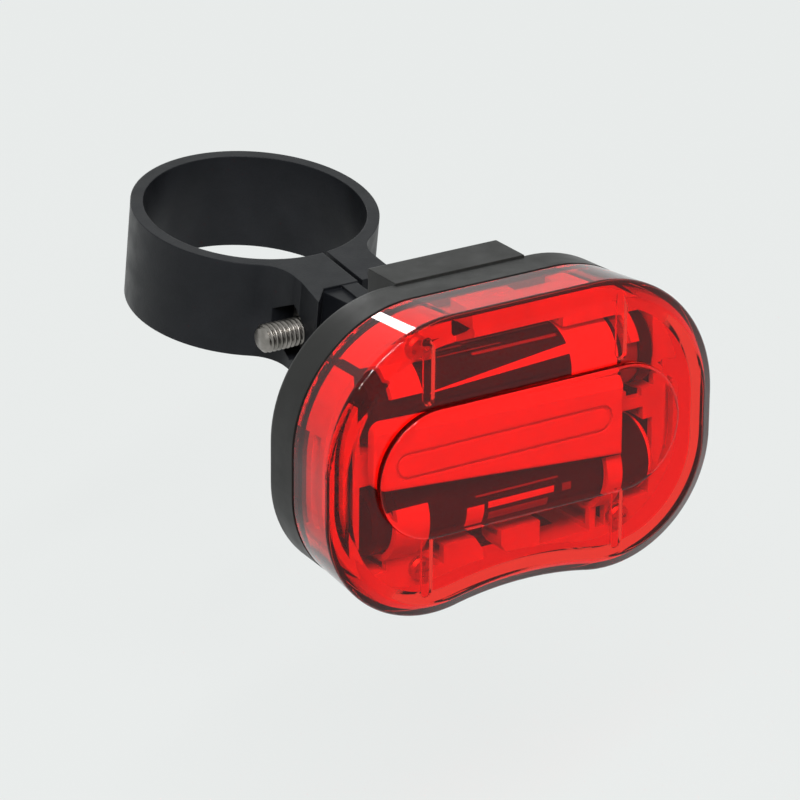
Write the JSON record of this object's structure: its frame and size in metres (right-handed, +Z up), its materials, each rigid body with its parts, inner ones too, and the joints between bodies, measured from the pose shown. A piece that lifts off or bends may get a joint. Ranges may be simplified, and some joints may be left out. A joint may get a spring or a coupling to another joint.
{
  "type": "bicycle rear light",
  "caption": "Kidney-shaped bicycle rear light on a split band for the seat post, with a slide-off lamp, lens cap, cells and push button.",
  "frame": {"origin": "middle of the clamp band's bore, on its axis", "axes": "+Z up along the clamp's bore, -Y towards the lamp and the way it shines, +X to the right as seen from behind the bicycle looking forwards"},
  "size_m": [0.0598, 0.0877, 0.0413],
  "materials": {
    "bracket_plastic": "black moulded nylon, slightly soft sheen",
    "base_plastic": "black moulded plastic, satin",
    "lens_red": "clear red moulded acrylic, polished",
    "seal_rubber": "soft black rubber",
    "cell_sleeve": "shrink sleeve over a steel can",
    "frame_plastic": "white moulded plastic",
    "bar_clear": "milky moulded acrylic",
    "board": "green circuit board laminate",
    "diode": "tinted epoxy",
    "chip_black": "black epoxy",
    "button_rubber": "soft black rubber",
    "contact_spring": "nickel-plated spring steel",
    "screw_steel": "zinc-plated steel"
  },
  "bodies": {
    "clamp": {"clamp_band": "bracket_plastic", "clamp_nut": "screw_steel"},
    "screw": {"clamp_screw": "screw_steel"},
    "lamp": {"base_shell": "base_plastic", "seal_ring": "seal_rubber", "inner_frame": "frame_plastic", "light_bar": "bar_clear", "led_board": "board", "led_left": "diode", "led_centre": "diode", "led_right": "diode", "driver_chip": "chip_black", "capacitor": "chip_black", "switch_body": "chip_black", "cell_upper": "cell_sleeve", "cell_lower": "cell_sleeve", "contact_bridge": "contact_spring", "contact_positive": "contact_spring", "contact_negative": "contact_spring", "frame_screws": "screw_steel"},
    "lens": {"lens": "lens_red"},
    "button": {"button_cap": "button_rubber", "switch_plunger": "frame_plastic"}
  },
  "joints": [
    {"name": "screw_turn", "type": "hinge", "parent": "clamp", "child": "screw", "pos_m": [0, -0.0202, -0.0013], "axis": [1, 0, 0], "continuous": true},
    {"name": "lamp_slide", "type": "slide", "parent": "clamp", "child": "lamp", "axis": [0, 0.1392, 0.9903], "range_m": [0, 0.022]},
    {"name": "lens_off", "type": "slide", "parent": "lamp", "child": "lens", "axis": [0, -0.9903, 0.1392], "range_m": [0, 0.015]},
    {"name": "button_press", "type": "slide", "parent": "lamp", "child": "button", "axis": [0, 0.1392, 0.9903], "range_m": [0, 0.0004], "stiffness_N_per_m": 3000}
  ]
}
